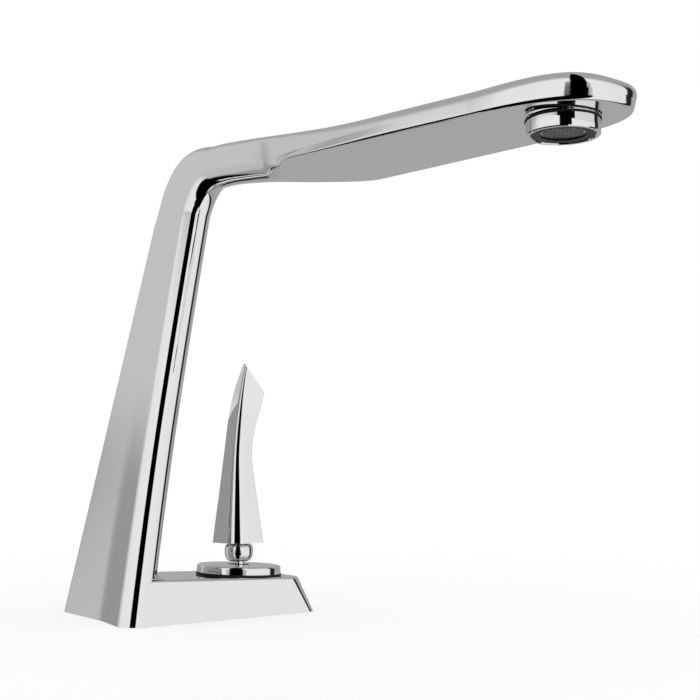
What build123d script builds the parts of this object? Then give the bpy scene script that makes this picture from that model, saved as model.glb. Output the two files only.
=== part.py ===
# Single-lever basin mixer
# A cast L-shaped body: a low foot, a leaning blade column and a flat paddle spout.
# A joystick lever stands on the foot, over a ceramic-disc cartridge that hangs in the shank.
# Millimetres. The origin is where the lever's axis meets the deck, +Z is up, the spout points to -Y.
import os
from math import cos, radians, sin

from build123d import *

os.makedirs("parts", exist_ok=True)

# Running and seating clearances
RUNNING = 0.1        # round parts that turn or slide in each other
BODY_GAP = 0.3       # between faces that pass each other

# Foot
FOOT_HEIGHT = 17.3           # at the lever's axis
FOOT_SLOPE = 0.04            # the top falls by this much per millimetre towards +X
FOOT_FRONT = 21.5            # front face, in -Y
FOOT_BACK = 26.0
FOOT_END = 30.5              # end of the foot at the deck, in +X
FOOT_END_RAKE = 9.0          # how far the end leans in at the top
FOOT_DRAFT = 1.2             # how far front and back lean in at the top
FOOT_CORNER = 6.0            # plan radius of the end's corners at the deck
FOOT_TOP_CORNER = 11.0       # and at the top
FOOT_EDGE = 1.6              # rounding of the top edge
FOOT_BLANK = 22.0            # height of the blank that the slope is cut from
FOOT_HIDDEN_END_X = -58.0    # the foot ends inside the column

# Column: a leaning blade with a fully rounded nose in front
COLUMN_FOOT_X = -62.8        # centre of the nose at the deck
COLUMN_FOOT_Y = -11.8
COLUMN_TOP_X = -23.85        # and at the top, which is also the middle plane of the spout
COLUMN_TOP_Y = 0.8
COLUMN_HEIGHT = 197.7
COLUMN_STATIONS = 4          # stretches between the sections of the column's skin
NOSE_FOOT_R = 7.7
NOSE_TOP_R = 7.3
BACK_FOOT_Y = 51.0           # back edge of the blade at the deck
BACK_TOP_Y = 27.3            # and where the bend starts
BACK_HOLLOW = 2.0            # how far the back edge is drawn in, half way up
FLANK_FLARE = 4.35           # the nose stands this far out of the left flank at the deck
FLANK_BREAK = 0.42           # the flare runs out this share of the way along the flank
BACK_EDGE_R = 3.0            # rounding of the two long back edges

# Bend
BEND_Z = 190.0               # where the column ends and the bend starts
BEND_INNER_R = 8.7           # inner radius, under the neck
BEND_REACH = (43.1, 37.1, 29.6)    # from the inner radius' centre to the back, evenly fanned
NECK_TOP_REACH = 25.6              # the same, straight up

# Spout
SPOUT_TIP_Y = -253.3
SPOUT_TIP_LENGTH = 44.3      # the rounded end of the paddle
TIP_FULLNESS = 0.73          # 0.55 is a half ellipse, 1 a box
NECK_HALF_WIDTH = 7.3
PADDLE_HALF_WIDTH = 25.8     # at its widest
PADDLE_TAPER = 0.0345        # loss of half width per millimetre towards the tip
FLARE_START_Y = -60.0        # the neck widens into the paddle between these two
FLARE_END_Y = -104.0
UNDERSIDE_Z = 181.5          # underside at the aerator
UNDERSIDE_SLOPE = 0.0692
NECK_ARCH = 3.1              # the underside rises by this much more under the neck
NECK_ARCH_START_Y = -66.0
NECK_ARCH_END_Y = -36.0
PADDLE_THICKNESS = 8.4
NECK_EXTRA = 10.9            # the neck is thicker than the paddle by this much
NECK_EXTRA_START_Y = -158.0
NECK_EXTRA_END_Y = -20.0
PADDLE_EDGE_R = 3.1          # rounding of the paddle's edges
NOSE_FLAT = 0.15             # half width of the flat left on a full round
SPOUT_STATIONS = 18          # sections that the spout's skin is drawn through

# Aerator, size M22 x 1, 24 mm outside
AERATOR_Y = -230.1
AERATOR_GASKET_Z = 179.8     # underside of its joint
AERATOR_GASKET = 0.6
COLLAR_R = 12.0
COLLAR_HEIGHT = 4.6
COLLAR_THREAD_R = 11.05
COLLAR_MOUTH_R = 10.4
COLLAR_LIP = 1.1
COLLAR_EDGE = 0.3
NIPPLE_WALL = 1.7
NIPPLE_LENGTH = 1.9
BOSS_R = 12.3
CAGE_HEIGHT = 6.4
CAGE_FLANGE = 1.2
CAGE_RECESS = 0.4            # how far the cage's face lies inside the lip
MESH_R = 7.5
MESH_RECESS = 0.5            # from the cage's face
MESH_THICKNESS = 0.5         # two layers of bars that cross
MESH_BAR = 0.45
MESH_PITCH = 1.35
REGULATOR_R = 5.0
REGULATOR_THICKNESS = 1.5
REGULATOR_HOLES = 6
REGULATOR_HOLE_R = 0.8
REGULATOR_CIRCLE_R = 3.0
AERATOR_BORE_TOP = 185.3

# Lever, drawn in its own plane: across is towards the beak, and the ridges face both ways
LEVER_HEADING = -45.0        # direction of the beak from +X
LEVER_FOOT_Z = 32.2
LEVER_STATIONS = (
    # height, heel, beak side, ridge, half thickness, ridge radius
    (0.0, -11.8, 11.85, 0.0, 11.75, 6.0),
    (21.0, -9.95, 8.95, -0.3, 9.3, 4.9),
    (42.0, -7.4, 6.45, -0.4, 6.9, 3.7),
    (56.0, -5.55, 8.7, -0.2, 5.7, 3.0),
    (71.0, -2.5, 12.8, 0.9, 4.2, 1.9),
    (86.0, 2.7, 16.6, 3.9, 1.9, 0.9),
)
LEVER_SIDE_R = 0.5           # rounding of the two side edges
SHOULDER_ACROSS = 12.8       # the oblique cut runs from the shoulder
SHOULDER_RISE = 70.9
BEAK_ACROSS = 2.8            # up to the beak
BEAK_RISE = 85.3
STEM_SOCKET_DEPTH = 22.0
GRUB_R = 2.0
GRUB_RISE = 9.0              # above the lever's foot
GRUB_LENGTH = 5.0
GRUB_SOCKET = 2.0            # across the flats
GRUB_SOCKET_DEPTH = 2.5

# Ball collar under the lever
BALL_FOOT_Z = 23.7
BALL_TOP_Z = 31.8
BALL_R = 6.75
BALL_WIDEST_Z = 28.4
BALL_FOOT_R = 4.6
BALL_TOP_R = 4.8
BALL_NECK_R = 3.4
BALL_FOOT_SLANT = 0.55       # rise per millimetre outwards, where the ball starts
BALL_TOP_SLANT = 0.15        # and where it ends

# Stem and cartridge
PIVOT_Z = 17.0
STEM_R = 2.65
STEM_CHAMFER = 0.45
STEM_HUB_R = 4.2
STEM_TAIL_R = 1.6
STEM_TAIL_LENGTH = 12.0      # from the pivot to the middle of the tail ball
TAIL_BALL_R = 2.5
PIVOT_PIN_R = 1.5
PIVOT_PIN_CHAMFER = 0.3

CARTRIDGE_R = 12.5
CARTRIDGE_WALL = 2.0
CARTRIDGE_FLOOR_Z = -12.0
HOUSING_CHAMFER = 0.5
HOUSING_FOOT_Z = -8.0
HOUSING_TOP_Z = 9.5
HOUSING_ROOF = 1.8
BASE_TOP_Z = -5.4
CERAMIC_THICKNESS = 3.0
MIXING_DEPTH = 1.5           # of the hollow under the moving disc
MOVING_DISC_R = 7.6
CARRIER_TOP_Z = 7.0
CARRIER_WIDTH = 10.4
CARRIER_LENGTH = 12.4
CARRIER_CORNER_R = 1.3
ROTOR_R = 9.2
ROTOR_TOP_Z = 20.3
ROTOR_BORE_R = 4.7
ROTOR_CHAMFER = 0.4
O_RING_SECTION = 0.6         # radius of the ring's section
PORT_R = 2.2
INLET_PORT = (2.5, 6.2)
OUTLET_PORT_X = -6.4
PORT_SEAL_SECTION = 0.6
PORT_SEAL_R = 2.9

# Cartridge nut, trim ring and cover disc
NUT_THREAD_R = 14.0
NUT_HEIGHT = 5.8
NUT_BORE_R = 9.5
NUT_SLOT = 3.0
NUT_SLOT_DEPTH = 1.5
TRIM_RING_R = 20.1
TRIM_RING_THICKNESS = 1.0
COVER_R = 19.8
COVER_THICKNESS = 3.8
COVER_EDGE_R = 1.3
COVER_HOLE_R = 5.3
COVER_CROWN = 1.4            # metal left over the rotor
COVER_SPIGOT_WALL = 3.0

# Shank, inlets and deck fixing
SHANK_R = 16.5
SHANK_LENGTH = 60.0
SHANK_CHAMFER = 1.2
INLET_Y = 7.0
INLET_THREAD_R = 5.0
INLET_THREAD_LENGTH = 14.0
CHANNEL_R = 3.2
WATERWAY_FLOOR = 3.0         # metal under the channel in the foot
WATERWAY_INSET = 3.5         # from the nose's centre line to the channel up the blade
WATERWAY_BACK = 11.0
WATERWAY_FOOT_Z = -11.0      # where the side groove of the cartridge bore starts
WATERWAY_HEAD_Z = 203.0      # where the channel turns from the column into the spout
WATERWAY_BREAK_Y = -140.0    # where it turns to follow the paddle
INLET_CHANNEL_R = 2.6
SIDE_GROOVE_R = 2.3
SPOUT_CHANNEL_R = 2.4
DECK_THICKNESS = 30.0
GASKET_WIDTH = 3.2
GASKET_THICKNESS = 1.8
WASHER_R = 24.0
RUBBER_WASHER = 3.0
STEEL_WASHER = 2.0
STEEL_WASHER_CHAMFER = 0.35
SHANK_NUT_ACROSS = 46.0
SHANK_NUT_HEIGHT = 8.0
SHANK_NUT_CHAMFER = 1.4
SHANK_NUT_CHAMFER_ANGLE = 30
WASHER_PLAY = 0.3


def blend(value, start, end):
    """0 at start and before it, 1 at end and past it, smooth between."""
    share = min(max((value - start) / (end - start), 0.0), 1.0)
    return share * share * (3.0 - 2.0 * share)


def column_x(z):
    return COLUMN_FOOT_X + (COLUMN_TOP_X - COLUMN_FOOT_X) * z / COLUMN_HEIGHT


def column_y(z):
    return COLUMN_FOOT_Y + (COLUMN_TOP_Y - COLUMN_FOOT_Y) * z / COLUMN_HEIGHT


def nose_r(z):
    return NOSE_FOOT_R + (NOSE_TOP_R - NOSE_FOOT_R) * z / COLUMN_HEIGHT


def column_back(z):
    share = z / BEND_Z
    straight = BACK_FOOT_Y + (BACK_TOP_Y - BACK_FOOT_Y) * share
    return straight - 4 * BACK_HOLLOW * share * (1 - share)


def spout_line(y):
    """The straight underside of the paddle, carried on under the neck."""
    return UNDERSIDE_Z + UNDERSIDE_SLOPE * (y - AERATOR_Y)


def spout_underside(y):
    return spout_line(y) + NECK_ARCH * blend(y, NECK_ARCH_START_Y, NECK_ARCH_END_Y)


def spout_top(y):
    extra = NECK_EXTRA * blend(y, NECK_EXTRA_START_Y, NECK_EXTRA_END_Y)
    return spout_line(y) + PADDLE_THICKNESS + extra


def spout_half_width(y):
    paddle = PADDLE_HALF_WIDTH + PADDLE_TAPER * min(y - FLARE_END_Y, 0.0)
    return NECK_HALF_WIDTH + (paddle - NECK_HALF_WIDTH) * blend(y, FLARE_START_Y, FLARE_END_Y)


def spout_middle(y):
    return (spout_underside(y) + spout_top(y)) / 2


def blade_outline(left, right, front, back, nose, back_r, flare=0.0):
    """Section of the blade: a rounded nose in front, two flanks and a back with rounded edges.

    The nose may stand out of the left flank by flare, which runs out part way to the back.
    """
    nose_left = left - flare
    nose_end = front + nose
    flank_bend = (left, nose_end + FLANK_BREAK * (back - back_r - nose_end))
    CenterArc((nose_left + nose, nose_end), nose, 180, 90)
    Line((nose_left + nose, front), (right - nose, front))
    CenterArc((right - nose, nose_end), nose, 270, 90)
    Line((right, nose_end), (right, back - back_r))
    CenterArc((right - back_r, back - back_r), back_r, 0, 90)
    Line((right - back_r, back), (left + back_r, back))
    CenterArc((left + back_r, back - back_r), back_r, 90, 90)
    Bezier((left, back - back_r), flank_bend, flank_bend, (nose_left, nose_end))


def column_outline(z):
    radius = nose_r(z)
    flare = FLANK_FLARE * (1 - z / COLUMN_HEIGHT)
    blade_outline(
        left=column_x(z) - radius + flare,
        right=column_x(z) + radius,
        front=column_y(z) - radius,
        back=column_back(z),
        nose=radius - NOSE_FLAT,
        back_r=BACK_EDGE_R,
        flare=flare,
    )


def foot_outline(share, corner):
    """Plan of the foot, drawn in by this share of its draft and of its end's rake."""
    draft = FOOT_DRAFT * share
    end = FOOT_END - FOOT_END_RAKE * share
    FilletPolyline(
        (FOOT_HIDDEN_END_X, -FOOT_FRONT + draft),
        (end, -FOOT_FRONT + draft),
        (end, FOOT_BACK - draft),
        (FOOT_HIDDEN_END_X, FOOT_BACK - draft),
        radius=(0, corner, corner, 0),
        close=True,
    )


# Spout tip, drawn in the paddle's own tilted plane and added to the body below
tip_start_y = SPOUT_TIP_Y + SPOUT_TIP_LENGTH
tip_half_width = spout_half_width(tip_start_y)
tip_plane = Plane(
    origin=(COLUMN_TOP_X, tip_start_y, spout_line(tip_start_y) + PADDLE_THICKNESS / 2),
    x_dir=(0, -1, -UNDERSIDE_SLOPE),
    z_dir=(0, -UNDERSIDE_SLOPE, 1),
)
with BuildPart() as spout_tip:
    with BuildSketch(tip_plane.offset(-PADDLE_THICKNESS / 2)):
        with BuildLine():
            handle = TIP_FULLNESS * SPOUT_TIP_LENGTH
            Line((0, -tip_half_width), (0, tip_half_width))
            for side in (1, -1):
                Bezier(
                    (0, side * tip_half_width),
                    (handle, side * (tip_half_width - PADDLE_TAPER * handle)),
                    (SPOUT_TIP_LENGTH, side * TIP_FULLNESS * tip_half_width),
                    (SPOUT_TIP_LENGTH, 0),
                )
        make_face()
    extrude(amount=PADDLE_THICKNESS)
    rim = spout_tip.edges().filter_by(GeomType.LINE, reverse=True)
    fillet(rim, radius=PADDLE_EDGE_R)

# Places that several pieces share
bend_front = column_y(BEND_Z) - nose_r(BEND_Z)
bend_centre_y = bend_front - BEND_INNER_R
aerator_spot = (COLUMN_TOP_X, AERATOR_Y)
gasket_top_z = AERATOR_GASKET_Z + AERATOR_GASKET
collar_foot_z = AERATOR_GASKET_Z - COLLAR_HEIGHT
lip_top_z = collar_foot_z + COLLAR_LIP
nipple_foot_z = lip_top_z + CAGE_FLANGE
nipple_r = COLLAR_THREAD_R - RUNNING
nipple_bore_r = nipple_r - NIPPLE_WALL
foot_plane = Plane(origin=(0, 0, FOOT_HEIGHT), x_dir=(1, 0, -FOOT_SLOPE), z_dir=(FOOT_SLOPE, 0, 1))
cartridge_bore_r = CARTRIDGE_R + RUNNING
nut_bore_r = NUT_THREAD_R + RUNNING
gasket_inner_r = SHANK_R + RUNNING
inlet_spots = [(INLET_PORT[0], side * INLET_Y) for side in (1, -1)]
port_spots = [(INLET_PORT[0], side * INLET_PORT[1]) for side in (1, -1)]

# The waterway: from the side groove of the cartridge bore, up the blade and along the spout
groove_foot = Vector(-cartridge_bore_r, 0, WATERWAY_FOOT_Z)
groove_top = Vector(-cartridge_bore_r, 0, CHANNEL_R + WATERWAY_FLOOR)
column_foot = Vector(column_x(0) + WATERWAY_INSET, WATERWAY_BACK, CHANNEL_R + WATERWAY_FLOOR)
column_head = Vector(COLUMN_TOP_X, WATERWAY_BACK, WATERWAY_HEAD_Z)
neck_end = Vector(COLUMN_TOP_X, FLARE_START_Y, spout_middle(FLARE_START_Y))
paddle_start = Vector(COLUMN_TOP_X, WATERWAY_BREAK_Y, spout_middle(WATERWAY_BREAK_Y))
spout_end = Vector(*aerator_spot, spout_line(AERATOR_Y) + PADDLE_THICKNESS / 2)
waterway = (
    (groove_foot, groove_top, SIDE_GROOVE_R),
    (groove_top, column_foot, CHANNEL_R),
    (column_foot, column_head, CHANNEL_R),
    (column_head, neck_end, SPOUT_CHANNEL_R),
    (neck_end, paddle_start, SPOUT_CHANNEL_R),
    (paddle_start, spout_end, SPOUT_CHANNEL_R),
)

# Foot, drawn in at the top, cut to its slope and rounded there
with BuildPart() as foot:
    with BuildSketch():
        with BuildLine():
            foot_outline(0.0, FOOT_CORNER)
        make_face()
    with BuildSketch(Plane.XY.offset(FOOT_BLANK)):
        with BuildLine():
            foot_outline(1.0, FOOT_TOP_CORNER)
        make_face()
    loft(ruled=True)
    split(bisect_by=foot_plane, keep=Keep.BOTTOM)
    rim = foot.faces().sort_by(Axis.Z)[-1].edges().sort_by(Axis.X)[1:]
    fillet(rim, radius=FOOT_EDGE)

# Body casting: blade column, bend, neck and paddle in one skin, then the foot, shank and bores
with BuildPart() as body_casting:
    for station in range(COLUMN_STATIONS + 1):
        z = BEND_Z * station / COLUMN_STATIONS
        with BuildSketch(Plane.XY.offset(z)):
            with BuildLine():
                column_outline(z)
            make_face()
    loft()

    with BuildSketch(Plane.XY.offset(BEND_Z)):
        with BuildLine():
            column_outline(BEND_Z)
        make_face()
    fan = len(BEND_REACH) + 1
    for index, reach in enumerate(BEND_REACH + (NECK_TOP_REACH,), start=1):
        turn = radians(90 * index / fan)
        fan_origin = (COLUMN_TOP_X, bend_centre_y, BEND_Z)
        with BuildSketch(Plane(origin=fan_origin, x_dir=(1, 0, 0), z_dir=(0, -sin(turn), cos(turn)))):
            with BuildLine():
                blade_outline(
                    left=-NECK_HALF_WIDTH,
                    right=NECK_HALF_WIDTH,
                    front=BEND_INNER_R,
                    back=reach,
                    nose=NECK_HALF_WIDTH - NOSE_FLAT,
                    back_r=BACK_EDGE_R,
                )
            make_face()
    spout_length = bend_centre_y - tip_start_y
    for station in range(1, SPOUT_STATIONS):
        y = bend_centre_y - spout_length * station / SPOUT_STATIONS
        full_round = NECK_HALF_WIDTH - NOSE_FLAT
        edge_r = full_round + (PADDLE_EDGE_R - full_round) * blend(y, FLARE_START_Y, FLARE_END_Y)
        with BuildSketch(Plane(origin=(COLUMN_TOP_X, y, 0), x_dir=(1, 0, 0), z_dir=(0, -1, 0))):
            with BuildLine():
                blade_outline(
                    left=-spout_half_width(y),
                    right=spout_half_width(y),
                    front=spout_underside(y),
                    back=spout_top(y),
                    nose=edge_r,
                    back_r=PADDLE_EDGE_R,
                )
            make_face()
    add(spout_tip.faces().sort_by(Axis.Y)[-1])
    loft()
    add(spout_tip.part)

    add(foot.part)

    # Shank below the deck, with the gasket's recess round it
    with BuildSketch():
        Circle(SHANK_R)
    extrude(amount=-SHANK_LENGTH)
    chamfer(body_casting.faces().sort_by(Axis.Z)[0].edges(), length=SHANK_CHAMFER)
    with BuildSketch():
        Circle(gasket_inner_r + GASKET_WIDTH + RUNNING)
        Circle(SHANK_R, mode=Mode.SUBTRACT)
    extrude(amount=GASKET_THICKNESS, mode=Mode.SUBTRACT)

    # Aerator boss, nipple and bore
    with BuildSketch(Plane.XY.offset(gasket_top_z)):
        with Locations(aerator_spot):
            Circle(BOSS_R)
    extrude(amount=AERATOR_BORE_TOP - gasket_top_z)
    with BuildSketch(Plane.XY.offset(nipple_foot_z)):
        with Locations(aerator_spot):
            Circle(nipple_r)
    extrude(amount=AERATOR_BORE_TOP - nipple_foot_z)
    with BuildSketch(Plane.XY.offset(nipple_foot_z)):
        with Locations(aerator_spot):
            Circle(nipple_bore_r)
    extrude(amount=AERATOR_BORE_TOP - nipple_foot_z, mode=Mode.SUBTRACT)

    # Cartridge bore with the thread of its nut, and the two inlets from below
    with BuildSketch(Plane.XY.offset(CARTRIDGE_FLOOR_Z)):
        Circle(cartridge_bore_r)
    extrude(amount=HOUSING_TOP_Z - CARTRIDGE_FLOOR_Z, mode=Mode.SUBTRACT)
    with BuildSketch(Plane.XY.offset(HOUSING_TOP_Z)):
        Circle(nut_bore_r)
    extrude(amount=FOOT_BLANK, mode=Mode.SUBTRACT)
    with BuildSketch(Plane.XY.offset(-SHANK_LENGTH)):
        with Locations(*inlet_spots):
            Circle(INLET_THREAD_R)
    extrude(amount=INLET_THREAD_LENGTH, mode=Mode.SUBTRACT)
    with BuildSketch(Plane.XY.offset(-SHANK_LENGTH)):
        with Locations(*port_spots):
            Circle(INLET_CHANNEL_R)
    extrude(amount=SHANK_LENGTH + CARTRIDGE_FLOOR_Z, mode=Mode.SUBTRACT)
    for start, end, radius in waterway:
        with Locations(Plane(origin=start, z_dir=end - start)):
            Cylinder(
                radius,
                (end - start).length,
                align=(Align.CENTER, Align.CENTER, Align.MIN),
                mode=Mode.SUBTRACT,
            )
        with Locations(end):
            Sphere(radius, mode=Mode.SUBTRACT)

# Deck gasket, washers and shank nut
with BuildPart() as deck_gasket:
    with BuildSketch():
        Circle(gasket_inner_r + GASKET_WIDTH)
        Circle(gasket_inner_r, mode=Mode.SUBTRACT)
    extrude(amount=GASKET_THICKNESS)

rubber_top_z = -DECK_THICKNESS
steel_top_z = rubber_top_z - RUBBER_WASHER
nut_top_z = steel_top_z - STEEL_WASHER
with BuildPart() as rubber_washer:
    with BuildSketch(Plane.XY.offset(steel_top_z)):
        Circle(WASHER_R)
        Circle(SHANK_R + WASHER_PLAY, mode=Mode.SUBTRACT)
    extrude(amount=RUBBER_WASHER)

with BuildPart() as steel_washer:
    with BuildSketch(Plane.XY.offset(nut_top_z)):
        Circle(WASHER_R)
        Circle(SHANK_R + WASHER_PLAY, mode=Mode.SUBTRACT)
    extrude(amount=STEEL_WASHER)
    chamfer(steel_washer.faces().sort_by(Axis.Z)[0].edges(), length=STEEL_WASHER_CHAMFER)

with BuildPart() as shank_nut:
    with BuildSketch(Plane.XY.offset(nut_top_z - SHANK_NUT_HEIGHT)):
        RegularPolygon(SHANK_NUT_ACROSS / 2, 6, major_radius=False)
        Circle(SHANK_R + RUNNING, mode=Mode.SUBTRACT)
    extrude(amount=SHANK_NUT_HEIGHT)
    corner_r = SHANK_NUT_ACROSS / 2 / cos(radians(30))
    with BuildSketch(Plane.XY.offset(nut_top_z - SHANK_NUT_HEIGHT)):
        Circle(corner_r - SHANK_NUT_CHAMFER)
    extrude(amount=SHANK_NUT_HEIGHT, taper=-SHANK_NUT_CHAMFER_ANGLE, mode=Mode.INTERSECT)

# Cartridge housing, base and seals
housing_r = CARTRIDGE_R - CARTRIDGE_WALL
inside_r = housing_r - RUNNING
with BuildPart() as cartridge_housing:
    with BuildSketch(Plane.XY.offset(HOUSING_FOOT_Z)):
        Circle(CARTRIDGE_R)
    extrude(amount=HOUSING_TOP_Z - HOUSING_FOOT_Z)
    chamfer(cartridge_housing.faces().sort_by(Axis.Z)[-1].edges(), length=HOUSING_CHAMFER)
    with BuildSketch(Plane.XY.offset(HOUSING_FOOT_Z)):
        Circle(housing_r)
    extrude(amount=HOUSING_TOP_Z - HOUSING_ROOF - HOUSING_FOOT_Z, mode=Mode.SUBTRACT)
    with BuildSketch(Plane.XY.offset(HOUSING_FOOT_Z)):
        Circle(ROTOR_R + RUNNING)
    extrude(amount=HOUSING_TOP_Z - HOUSING_FOOT_Z, mode=Mode.SUBTRACT)

seal_seat_z = CARTRIDGE_FLOOR_Z + 2 * PORT_SEAL_SECTION
groove_mid_z = (CARTRIDGE_FLOOR_Z + HOUSING_FOOT_Z) / 2
o_ring_r = cartridge_bore_r - O_RING_SECTION
with BuildPart() as cartridge_base:
    with BuildSketch(Plane.XY.offset(CARTRIDGE_FLOOR_Z)):
        Circle(CARTRIDGE_R)
    extrude(amount=HOUSING_FOOT_Z - CARTRIDGE_FLOOR_Z)
    with BuildSketch(Plane.XY.offset(HOUSING_FOOT_Z)):
        Circle(inside_r)
    extrude(amount=BASE_TOP_Z - HOUSING_FOOT_Z)
    with BuildSketch(Plane.XY.offset(CARTRIDGE_FLOOR_Z)):
        with Locations(*port_spots):
            Circle(PORT_R)
    extrude(amount=BASE_TOP_Z - CARTRIDGE_FLOOR_Z, mode=Mode.SUBTRACT)
    with BuildSketch(Plane.XY.offset(CARTRIDGE_FLOOR_Z)):
        with Locations(*port_spots):
            Circle(PORT_SEAL_R + PORT_SEAL_SECTION)
    extrude(amount=seal_seat_z - CARTRIDGE_FLOOR_Z, mode=Mode.SUBTRACT)
    with BuildSketch(Plane.XY.offset(groove_mid_z)):
        with Locations((OUTLET_PORT_X, 0)):
            Circle(PORT_R)
    extrude(amount=BASE_TOP_Z - groove_mid_z, mode=Mode.SUBTRACT)
    with BuildSketch(Plane.XY.offset(groove_mid_z + O_RING_SECTION)):
        with Locations((OUTLET_PORT_X - PORT_R, 0)):
            Rectangle(2 * CARTRIDGE_R, PORT_R, align=(Align.MAX, Align.CENTER))
    extrude(amount=O_RING_SECTION, mode=Mode.SUBTRACT)
    with BuildSketch(Plane.XY.offset(groove_mid_z - O_RING_SECTION)):
        Circle(CARTRIDGE_R + RUNNING)
        Circle(o_ring_r - O_RING_SECTION, mode=Mode.SUBTRACT)
    extrude(amount=-2 * O_RING_SECTION, mode=Mode.SUBTRACT)

with BuildPart() as cartridge_o_ring:
    with Locations((0, 0, groove_mid_z - 2 * O_RING_SECTION)):
        Torus(o_ring_r, O_RING_SECTION)

with BuildPart() as inlet_seals:
    for x, y in port_spots:
        with Locations((x, y, CARTRIDGE_FLOOR_Z + PORT_SEAL_SECTION)):
            Torus(PORT_SEAL_R, PORT_SEAL_SECTION)

# Ceramic discs and the carrier that slides the upper one
fixed_top_z = BASE_TOP_Z + CERAMIC_THICKNESS
moving_top_z = fixed_top_z + CERAMIC_THICKNESS
with BuildPart() as fixed_ceramic_disc:
    with BuildSketch(Plane.XY.offset(BASE_TOP_Z)):
        Circle(inside_r)
        with Locations(*port_spots, (OUTLET_PORT_X, 0)):
            Circle(PORT_R, mode=Mode.SUBTRACT)
    extrude(amount=CERAMIC_THICKNESS)

with BuildPart() as moving_ceramic_disc:
    with BuildSketch(Plane.XY.offset(fixed_top_z)):
        Circle(MOVING_DISC_R)
    extrude(amount=CERAMIC_THICKNESS)
    with BuildSketch(Plane.XY.offset(fixed_top_z)):
        SlotCenterToCenter(MOVING_DISC_R, 2 * PORT_R)
    extrude(amount=MIXING_DEPTH, mode=Mode.SUBTRACT)

tail_z = PIVOT_Z - STEM_TAIL_LENGTH
with BuildPart() as disc_carrier:
    with BuildSketch(Plane.XY.offset(moving_top_z)):
        RectangleRounded(CARRIER_WIDTH, CARRIER_LENGTH, CARRIER_CORNER_R)
    extrude(amount=CARRIER_TOP_Z - moving_top_z)
    with BuildSketch(Plane.XY.offset(tail_z - TAIL_BALL_R - RUNNING)):
        Circle(TAIL_BALL_R + RUNNING)
    extrude(amount=CARRIER_TOP_Z, mode=Mode.SUBTRACT)

# Spindle carrier: the rotor that the lever turns, and the pin on which the stem tilts
skirt_foot_z = moving_top_z + BODY_GAP
roof_z = HOUSING_TOP_Z - HOUSING_ROOF
with BuildPart() as spindle_carrier:
    with BuildSketch(Plane.XY.offset(skirt_foot_z)):
        Circle(inside_r - RUNNING)
    extrude(amount=roof_z - RUNNING - skirt_foot_z)
    with BuildSketch(Plane.XY.offset(skirt_foot_z)):
        Circle(ROTOR_R)
    extrude(amount=ROTOR_TOP_Z - skirt_foot_z)
    chamfer(spindle_carrier.faces().sort_by(Axis.Z)[-1].edges(), length=ROTOR_CHAMFER)
    with BuildSketch(Plane.XY.offset(skirt_foot_z)):
        Rectangle(CARRIER_WIDTH + 2 * RUNNING, 2 * CARTRIDGE_R)
    extrude(amount=CARRIER_TOP_Z + RUNNING - skirt_foot_z, mode=Mode.SUBTRACT)
    with BuildSketch(Plane.XY.offset(skirt_foot_z)):
        Circle(ROTOR_BORE_R)
    extrude(amount=ROTOR_TOP_Z - skirt_foot_z, mode=Mode.SUBTRACT)
    with Locations((0, 0, PIVOT_Z)):
        Cylinder(PIVOT_PIN_R, 2 * ROTOR_R, rotation=(0, 90, 0), mode=Mode.SUBTRACT)

with BuildPart() as pivot_pin:
    with Locations((0, 0, PIVOT_Z)):
        Cylinder(PIVOT_PIN_R, 2 * (ROTOR_R - BODY_GAP), rotation=(0, 90, 0))
    chamfer(pivot_pin.faces().filter_by(Axis.X).edges(), length=PIVOT_PIN_CHAMFER)

# Stem: tail ball, hub on the pin and the rod that carries ball collar and lever
socket_top_z = LEVER_FOOT_Z + STEM_SOCKET_DEPTH
with BuildPart() as lever_stem:
    with Locations((0, 0, PIVOT_Z)):
        Sphere(STEM_HUB_R)
    with BuildSketch(Plane.XY.offset(PIVOT_Z)):
        Circle(STEM_R)
    extrude(amount=socket_top_z - BODY_GAP - PIVOT_Z)
    chamfer(lever_stem.faces().sort_by(Axis.Z)[-1].edges(), length=STEM_CHAMFER)
    with BuildSketch(Plane.XY.offset(tail_z)):
        Circle(STEM_TAIL_R)
    extrude(amount=PIVOT_Z - tail_z)
    with Locations((0, 0, tail_z)):
        Sphere(TAIL_BALL_R)
    with Locations((0, 0, PIVOT_Z)):
        Cylinder(PIVOT_PIN_R + RUNNING / 2, 2 * ROTOR_R, rotation=(0, 90, 0), mode=Mode.SUBTRACT)

# Ball collar, turned, with a short neck that the lever sits on
with BuildPart() as ball_collar:
    with BuildSketch(Plane.XZ):
        with BuildLine():
            Polyline((0, BALL_TOP_Z), (0, BALL_FOOT_Z), (BALL_FOOT_R, BALL_FOOT_Z))
            Spline(
                (BALL_FOOT_R, BALL_FOOT_Z),
                (BALL_R, BALL_WIDEST_Z),
                (BALL_TOP_R, BALL_TOP_Z),
                tangents=((1, BALL_FOOT_SLANT), (-1, BALL_TOP_SLANT)),
            )
            Line((BALL_TOP_R, BALL_TOP_Z), (0, BALL_TOP_Z))
        make_face()
    revolve(axis=Axis.Z)
    with BuildSketch(Plane.XY.offset(BALL_TOP_Z)):
        Circle(BALL_NECK_R)
    extrude(amount=LEVER_FOOT_Z - BALL_TOP_Z)
    with BuildSketch(Plane.XY.offset(BALL_FOOT_Z)):
        Circle(STEM_R)
    extrude(amount=LEVER_FOOT_Z - BALL_FOOT_Z, mode=Mode.SUBTRACT)

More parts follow.
